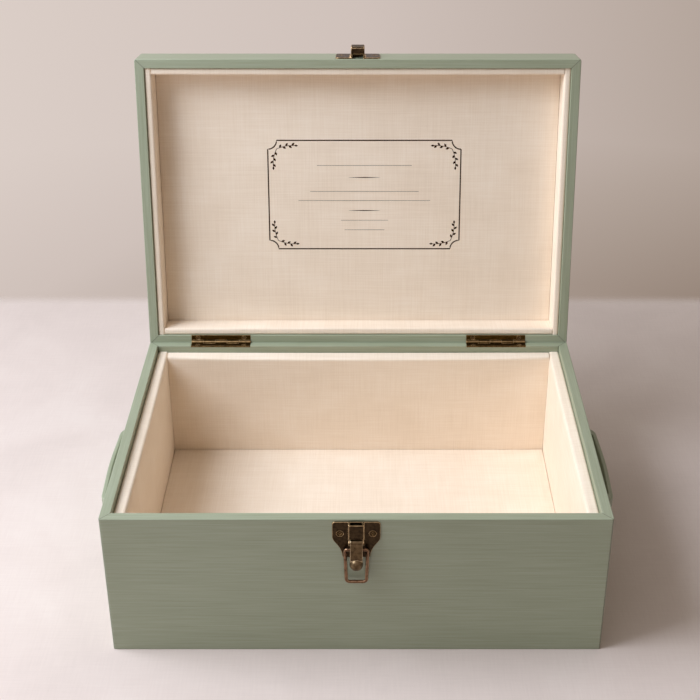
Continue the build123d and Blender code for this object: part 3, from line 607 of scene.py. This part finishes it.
def swell(entry):
    """Gives a pad its cloth, held where it is glued to its board or meets a neighbour."""
    pad = entry["pad"]
    held = pad.vertex_groups.new(name="glued")
    held.add(entry["glued"], 1.0, "REPLACE")
    cloth = pad.modifiers.new("wadding", "CLOTH")
    cloth.settings.vertex_group_mass = held.name
    cloth.settings.use_pressure = True
    cloth.settings.uniform_pressure_force = PRESSURE
    cloth.settings.tension_stiffness = STRETCH
    cloth.settings.compression_stiffness = STRETCH
    cloth.settings.bending_stiffness = BEND
    cloth.settings.quality = 6
    cloth.settings.effector_weights.gravity = 0.0
    cloth.collision_settings.use_collision = False
    cloth.point_cache.frame_start, cloth.point_cache.frame_end = 1, FRAMES


# %% Run the cloth
for entry in pads:
    swell(entry)
for number in range(1, FRAMES + 1):
    bpy.context.scene.frame_set(number)
graph = bpy.context.evaluated_depsgraph_get()
for entry in pads:
    pad = entry["pad"]
    blown = pad.evaluated_get(graph).data
    points = np.array([v.co for v in blown.vertices])
    start = np.array([v.co for v in pad.data.vertices])
    print(pad.name, "moved up to %.2f mm" % (np.abs(points - start).max() / MM))
    points = np.clip(points, np.array(entry["low"]), np.array(entry["high"]))
    pad.modifiers.remove(pad.modifiers["wadding"])
    pad.data.vertices.foreach_set("co", points.astype(np.float32).ravel())
    pad.data.update()
bpy.context.scene.frame_set(1)

# %% [markdown]
# ## Finish and seat the pads
#
# The lid's pads were made on the shut lid, so they are carried over to the open one, in the mesh
# and not in the object, which stays at the origin. One level of Subdivision Surface rounds the
# grid off. Each pad then rides on its body and stands for its plain CAD solid.

# %% Seat the pads
for entry in pads:
    pad = entry["pad"]
    if entry["body"] == "lid":
        pad.data.transform(LID)
    for face in pad.data.polygons:
        face.use_smooth = True
    smooth = pad.modifiers.new("smooth", "SUBSURF")
    smooth.levels = smooth.render_levels = 1
    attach(pad, entry["body"])
    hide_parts(entry["node"])
print("pads seated:", len(pads))

# %% [markdown]
# ## Printed plaque
#
# A plaque is printed on the lid's linen: a border with scooped corners, a leafy sprig in each
# corner and two swelled rules, with blank writing lines between them. Printing ink has no
# thickness to speak of, so it could be colour in the linen's material. As thin pieces of mesh its
# lines stay crisp at any size, and they lie on the linen wherever it swells. Everything is drawn
# flat round the middle of the plaque, and then dropped onto the panel.

# %% Ink
# Brown-black ink soaked into cloth: no shine at all, and a little uneven from thread to thread.
SOAK = 1.4286 * MM
ink, tree, output = new_material("printing_ink_sepia")
soak = add_node(tree, "ShaderNodeTexNoise", {
    "Vector": add_node(tree, "ShaderNodeTexCoord").outputs["Object"], "Scale": 1 / SOAK,
    "Detail": 3.0})
sepia = add_node(tree, "ShaderNodeValToRGB", {0: soak.outputs[0]}, stops=[
    (0.35, linear("2a1606")), (0.7, linear("492d15"))])
shader = add_node(tree, "ShaderNodeBsdfPrincipled", {
    "Base Color": sepia.outputs[0], "Roughness": 0.95, "Specular IOR Level": 0.05})
tree.links.new(shader.outputs[0], output.inputs[0])
print(ink.name, "varies over %.1f mm" % (SOAK / MM))

# %% Drawing helpers
drawing = bmesh.new()
LEAF_STEPS = 12


def stroke(points, widths):
    """A flat ribbon through the points, with a width at each. Lengths are in metres."""
    rails = []
    for i, point in enumerate(points):
        before, after = points[max(i - 1, 0)], points[min(i + 1, len(points) - 1)]
        along = (after - before).normalized()
        across = Vector((-along.y, along.x)) * widths[i] / 2
        rails.append((drawing.verts.new((*(point + across), 0)),
                      drawing.verts.new((*(point - across), 0))))
    for (a, b), (c, d) in zip(rails, rails[1:]):
        drawing.faces.new((a, b, d, c))


def leaf(spot, angle, length, width):
    """A disc that narrows to a point at both ends, turned and moved to its spot."""
    disc = bmesh.ops.create_circle(drawing, cap_ends=True, segments=LEAF_STEPS,
                                   radius=0.5)["verts"]
    for v in disc:
        v.co.y *= width / length * (1 - 0.5 * abs(v.co.x) * 2)
    bmesh.ops.scale(drawing, vec=(length, length, 1), verts=disc)
    bmesh.ops.rotate(drawing, verts=disc, matrix=Matrix.Rotation(angle, 3, "Z"))
    bmesh.ops.translate(drawing, vec=(spot.x, spot.y, 0), verts=disc)


def arc(centre, radius, start, end, steps):
    """Points of an arc between two angles in degrees."""
    turns = [math.radians(start + (end - start) * i / steps) for i in range(steps + 1)]
    return [centre + radius * Vector((math.cos(t), math.sin(t))) for t in turns]


# %% Border
PLAQUE_MIDDLE = Vector((5.2, -125.0)) * MM      # from the hinge, on the shut lid
PLAQUE_HALF = Vector((81.2, 47.5)) * MM
SCOOP, SCOOP_STEPS = 7.6 * MM, 8
LINE = 1.05 * MM                                # width of the border line
border = []
for sx, sy, turn in ((1, 1, 270), (-1, 1, 360), (-1, -1, 90), (1, -1, 180)):
    corner = Vector((sx * PLAQUE_HALF.x, sy * PLAQUE_HALF.y))
    border += arc(corner, SCOOP, turn, turn - 90, SCOOP_STEPS)
border.append(border[0])
stroke(border, [LINE] * len(border))
print("border points:", len(border))

# %% [markdown]
# ### Sprigs
#
# Two twigs leave each corner, one along each side of the border, and curve towards it. Leaves
# grow from the joints of a twig in turn to its left and right, with one more at its tip.

# %% Sprigs
ROOT = 7.4 * MM                     # in from the corner, along both sides
RUN, DROP = 15.5 * MM, 4.2 * MM     # length of a twig, and how far it bends
STEM = 0.45 * MM
JOINTS = 6
LEAF, BUD = (3.2 * MM, 1.9 * MM), (3.0 * MM, 1.8 * MM)  # length and width, at a joint and a tip
OFF_STEM, PAST_TIP = 1.1 * MM, 1.0 * MM                 # where their middles are
LEAN = math.radians(42)
for sx, sy in ((1, 1), (-1, 1), (-1, -1), (1, -1)):
    root = Vector((sx * (PLAQUE_HALF.x - ROOT), sy * (PLAQUE_HALF.y - ROOT)))
    for upright in (False, True):
        twig = []
        for i in range(JOINTS + 1):
            t = i / JOINTS
            run, drop = RUN * t, DROP * t * (1.7 - t)
            step = Vector((drop, -run)) if upright else Vector((-run, drop))
            twig.append(root + Vector((step.x * sx, step.y * sy)))
        stroke(twig, [STEM] * len(twig))
        for i in range(1, JOINTS + 1):
            along = (twig[i] - twig[i - 1]).normalized()
            angle = math.atan2(along.y, along.x)
            side = 1 if i % 2 else -1
            out = Vector((-along.y, along.x)) * side
            if i == JOINTS:
                leaf(twig[i] + along * PAST_TIP, angle, *BUD)
            else:
                leaf(twig[i] + (along + out) * OFF_STEM, angle + side * LEAN, *LEAF)
print("faces so far:", len(drawing.faces))

# %% Rules and writing lines
# A swelled rule is thick in its middle and fine at its ends.
RULES = ((15.6, 13.4, 0.7), (-13.4, 13.4, 0.7))     # height, half length and thickness in mm
WRITING = ((26.0, 40.0), (3.4, 46.0), (-4.6, 56.0), (-22.0, 20.0), (-30.5, 17.0))
RULE_STEPS, WRITING_STEPS = 6, 10                   # in half a line
FINE, WRITTEN = 0.08 * MM, 0.28 * MM


def level(height, half, steps):
    """Points of a level line from left to right. Its height and half length are in mm."""
    return [Vector((half * (i / steps - 1), height)) * MM for i in range(2 * steps + 1)]


for height, half, thick in RULES:
    stroke(level(height, half, RULE_STEPS),
           [thick * MM * (1 - (abs(i - RULE_STEPS) / RULE_STEPS) ** 1.4) + FINE
            for i in range(2 * RULE_STEPS + 1)])
for height, half in WRITING:
    stroke(level(height, half, WRITING_STEPS), [WRITTEN] * (2 * WRITING_STEPS + 1))
print("rules:", len(RULES), "writing lines:", len(WRITING))

# %% [markdown]
# ### Drop the drawing onto the linen
#
# The linen swells a little, so a flat drawing would float over it at the edges or sink in the
# middle. The long lines are divided so that they can bend, and each point is dropped onto the
# finished panel with a ray, to lie 0.06 mm proud of it. All this happens on the shut lid, where
# the panel faces down, so the drawing is first turned over.

# %% Drop it
PROUD = 0.06 * MM
LONG, CUTS = 8 * MM, 12     # longer edges than this are divided
bmesh.ops.subdivide_edges(drawing, edges=[e for e in drawing.edges if e.calc_length() > LONG],
                          cuts=CUTS, use_grid_fill=True)
bmesh.ops.rotate(drawing, verts=drawing.verts, matrix=Matrix.Rotation(math.pi, 3, "X"))
bmesh.ops.translate(drawing, vec=(PLAQUE_MIDDLE.x, PLAQUE_MIDDLE.y, 0), verts=drawing.verts)
graph = bpy.context.evaluated_depsgraph_get()
shaped = lid_field.evaluated_get(graph).to_mesh()
surface = BVHTree.FromPolygons([LID.inverted() @ v.co for v in shaped.vertices],
                               [tuple(p.vertices) for p in shaped.polygons])
for v in drawing.verts:
    hit, *_ = surface.ray_cast(Vector((v.co.x, v.co.y, 0)), Vector((0, 0, 1)))
    v.co.z = hit.z - PROUD
print("the linen is at z = %.2f mm from the hinge" % (hit.z / MM))

# %% Plaque piece
bmesh.ops.recalc_face_normals(drawing, faces=drawing.faces)
if sum(f.normal.z for f in drawing.faces) > 0:
    bmesh.ops.reverse_faces(drawing, faces=drawing.faces)
bmesh.ops.transform(drawing, matrix=LID, verts=drawing.verts)
plaque_mesh = bpy.data.meshes.new("printed_plaque")
drawing.to_mesh(plaque_mesh)
drawing.free()
plaque_mesh.materials.append(ink)
plaque = bpy.data.objects.new("printed_plaque", plaque_mesh)
bpy.context.scene.collection.objects.link(plaque)
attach(plaque, "lid")
print("plaque faces:", len(plaque_mesh.polygons))

# %% [markdown]
# ## Table
#
# The box stands on a table with a pale linen cloth. One flat grid is enough for it, as it is only
# part of the stage. Its far edge fades out, which gives the soft meeting line of cloth and wall.

# %% Table top
TABLE_END = 0.42            # middle of the fade, behind the box
PAST_END = 0.03             # how far the mesh goes on after it
TABLE_HALF = (4.0, 2.0)     # half width and half depth
table_mesh = bpy.data.meshes.new("table")
bm = bmesh.new()
bmesh.ops.create_grid(bm, x_segments=1, y_segments=1, size=1.0)
bmesh.ops.scale(bm, vec=(*TABLE_HALF, 1), verts=bm.verts)
bmesh.ops.translate(bm, vec=(0, TABLE_END + PAST_END - TABLE_HALF[1], 0), verts=bm.verts)
bm.to_mesh(table_mesh)
bm.free()
table = bpy.data.objects.new("table", table_mesh)
bpy.context.scene.collection.objects.link(table)
print("table from %.2f to %.2f m" % (min(v.co.y for v in table_mesh.vertices),
                                     max(v.co.y for v in table_mesh.vertices)))

# %% [markdown]
# ### Tablecloth
#
# A washed linen cloth is matt, with broad soft creases about 11 cm apart and a faint weave. The
# creases carry most of the look: they drive the bump, and they also darken the colour in their
# hollows as painted shade. Its threads are really 0.5 mm apart. They are drawn 1.4 mm apart, or
# the render would blur them away.

# %% Tablecloth
CREASE = 111.1 * MM
TABLE_THREAD, TABLE_SLUB = 1.4286 * MM, 25 * MM
FADE = 0.012                # half width of the fade at the far edge
cloth_cover, tree, output = new_material("table_linen")
place = add_node(tree, "ShaderNodeTexCoord").outputs["Object"]
folds_and_shade = add_node(tree, "ShaderNodeTexNoise", {
    "Vector": place, "Scale": 1 / CREASE, "Detail": 4.0, "Distortion": 0.6})
threads = []
for cells in ((1 / TABLE_THREAD, 1 / TABLE_SLUB, 1), (1 / TABLE_SLUB, 1 / TABLE_THREAD, 1)):
    threads.append(add_node(tree, "ShaderNodeTexNoise", {"Vector": add_node(
        tree, "ShaderNodeVectorMath", {0: place, 1: cells}, operation="MULTIPLY").outputs[0],
        "Scale": 1.0, "Detail": 2.0}))
weave = add_node(tree, "ShaderNodeMath", {0: threads[0].outputs[0], 1: threads[1].outputs[0]},
                 operation="ADD")
shade = add_node(tree, "ShaderNodeMath", {0: weave.outputs[0], 1: 0.3}, operation="MULTIPLY")
# The creases shade the colour too: painted shade in their hollows, on top of the bump.
shade = add_node(tree, "ShaderNodeMath", {0: shade.outputs[0], 1: folds_and_shade.outputs[0]},
                 operation="ADD")
colour = add_node(tree, "ShaderNodeValToRGB", {0: shade.outputs[0]}, stops=[
    (0.5, linear("dccdc6")), (0.8, linear("e3d4cd")), (1.0, linear("e7d9d2"))])
relief = add_node(tree, "ShaderNodeBump", {
    "Strength": 0.15, "Distance": 2 * MM, "Height": folds_and_shade.outputs[0]})
fabric = add_node(tree, "ShaderNodeBsdfPrincipled", {
    "Base Color": colour.outputs[0], "Roughness": 0.95, "Specular IOR Level": 0.1,
    "Normal": relief.outputs[0]})
far = add_node(tree, "ShaderNodeMapRange", {
    "Value": add_node(tree, "ShaderNodeSeparateXYZ", {0: place}).outputs[1],
    "From Min": TABLE_END - FADE, "From Max": TABLE_END + FADE},
    interpolation_type="SMOOTHSTEP")
edge = add_node(tree, "ShaderNodeMixShader", {
    0: far.outputs[0], 1: fabric.outputs[0],
    2: add_node(tree, "ShaderNodeBsdfTransparent").outputs[0]})
tree.links.new(edge.outputs[0], output.inputs[0])
table_mesh.materials.append(cloth_cover)
print(cloth_cover.name, "has threads of %.1f mm" % (TABLE_THREAD / MM))

# %% [markdown]
# ## Wall
#
# Behind the table is an empty pale wall. It could be a big plane, but that would hide the box from
# another side. So it is the world itself, coloured by direction with painted light: pale on the
# window's side, with painted shade to the right and towards its foot. Only the camera, reflections
# and clear parts see it.

# %% World and wall
WALL_SIDES = 0.28                   # how far to either side the wall changes, as a direction
WALL_FOOT = -0.36, -0.46            # downward directions between which it gets darker
FOOT_SHADE = 0.45
world = bpy.data.worlds.new("studio")
bpy.context.scene.world = world
world.use_nodes = True
tree = world.node_tree
tree.nodes.clear()
output = add_node(tree, "ShaderNodeOutputWorld")
direction = add_node(tree, "ShaderNodeSeparateXYZ", {
    0: add_node(tree, "ShaderNodeTexCoord").outputs["Generated"]})
across = add_node(tree, "ShaderNodeMapRange", {
    "Value": direction.outputs[0], "From Min": -WALL_SIDES, "From Max": WALL_SIDES})
low_down = add_node(tree, "ShaderNodeMapRange", {
    "Value": direction.outputs[2], "From Min": WALL_FOOT[0], "From Max": WALL_FOOT[1],
    "To Max": FOOT_SHADE})
tone = add_node(tree, "ShaderNodeMath", {0: across.outputs[0], 1: low_down.outputs[0]},
                operation="ADD")
tone = add_node(tree, "ShaderNodeMath", {0: tone.outputs[0], 1: 1 / 1.5}, operation="MULTIPLY")
# Painted light and shade on the wall: pale towards the window, darker to the right and at the foot
wall = add_node(tree, "ShaderNodeValToRGB", {0: tone.outputs[0]}, stops=[
    (0.0, linear("dbcec7")), (0.33, linear("cfc1ba")), (0.66, linear("b2a399")),
    (0.95, linear("968579"))])
backdrop = add_node(tree, "ShaderNodeBackground", {0: wall.outputs[0], 1: 1.0})
print("wall tones:", len(wall.color_ramp.elements))

# %% [markdown]
# ### Light of the room
#
# What the box receives is not that wall but the room: a little warm light from everywhere, and
# daylight that grows towards the left, where the window is. The Light Path node tells the two
# apart.

# %% Light of the room
ROOM_LIGHT, DAYLIGHT = 0.155, 0.9
room = add_node(tree, "ShaderNodeBackground", {0: linear("f4e3cf"), 1: ROOM_LIGHT})
leftward = add_node(tree, "ShaderNodeMapRange", {
    "Value": direction.outputs[0], "From Min": 0.0, "From Max": -1.0, "To Max": DAYLIGHT})
daylit = add_node(tree, "ShaderNodeBackground", {0: linear("ffffff"), 1: leftward.outputs[0]})
fill = add_node(tree, "ShaderNodeAddShader", {0: room.outputs[0], 1: daylit.outputs[0]})
ray = add_node(tree, "ShaderNodeLightPath")
seen = add_node(tree, "ShaderNodeMath", {
    0: ray.outputs["Is Camera Ray"], 1: ray.outputs["Is Glossy Ray"]}, operation="MAXIMUM")
seen = add_node(tree, "ShaderNodeMath", {
    0: seen.outputs[0], 1: ray.outputs["Is Transmission Ray"]}, operation="MAXIMUM")
both = add_node(tree, "ShaderNodeMixShader", {
    0: seen.outputs[0], 1: fill.outputs[0], 2: backdrop.outputs[0]})
tree.links.new(both.outputs[0], output.inputs[0])
print("room light", ROOM_LIGHT, "and daylight up to", DAYLIGHT, "from the left")

# %% [markdown]
# ## Lamps
#
# A tall window stands to the left, a little to the front and above the box, so the tray's left
# side is in shadow and its right side is bright. It is an area lamp of 0.75 m, which makes soft
# shadows. A weak second lamp high behind the box, to the right, lifts the table and the rims.

# %% Lamps


def soft_box(name, spot, aim, size, watts, colour):
    """A square area lamp at spot that faces aim."""
    lamp = bpy.data.lights.new(name, "AREA")
    lamp.shape, lamp.size, lamp.energy, lamp.color = "SQUARE", size, watts, linear(colour)[:3]
    holder = bpy.data.objects.new(name, lamp)
    holder.location = spot
    holder.rotation_euler = (Vector(aim) - Vector(spot)).to_track_quat("-Z", "Y").to_euler()
    bpy.context.scene.collection.objects.link(holder)
    print(name, watts, "W at", spot)


BOX_MIDDLE = (0.0, 0.03, 0.12)
soft_box("window", (-0.78, -0.17, 1.0), BOX_MIDDLE, size=0.75, watts=15.6, colour="ebf3ff")
soft_box("back_lamp", (0.30, 0.35, 1.3), BOX_MIDDLE, size=0.8, watts=2.0, colour="fff6ee")

# %% [markdown]
# ## Camera
#
# The camera looks down into the open tray from in front of the box, through a long lens, so that
# near and far sides differ little in size. The lens is shifted a little, which frames the box
# without turning the camera, so that its walls don't lean more than they have to.

# %% Camera
LOOK_DOWN = 27.58           # degrees below level
camera = bpy.data.cameras.new("camera")
camera.sensor_width = 36.0
camera.lens = 66.4
camera.shift_x, camera.shift_y = -0.0249, -0.1
eye = bpy.data.objects.new("camera", camera)
eye.location = (0.0078, -0.8424, 0.6842)
eye.rotation_euler = (math.radians(90 - LOOK_DOWN), 0, 0)
bpy.context.scene.collection.objects.link(eye)
bpy.context.scene.camera = eye
bpy.context.scene.view_settings.view_transform = "Standard"
print("camera", [round(c, 3) for c in eye.location], "lens", round(camera.lens, 1))
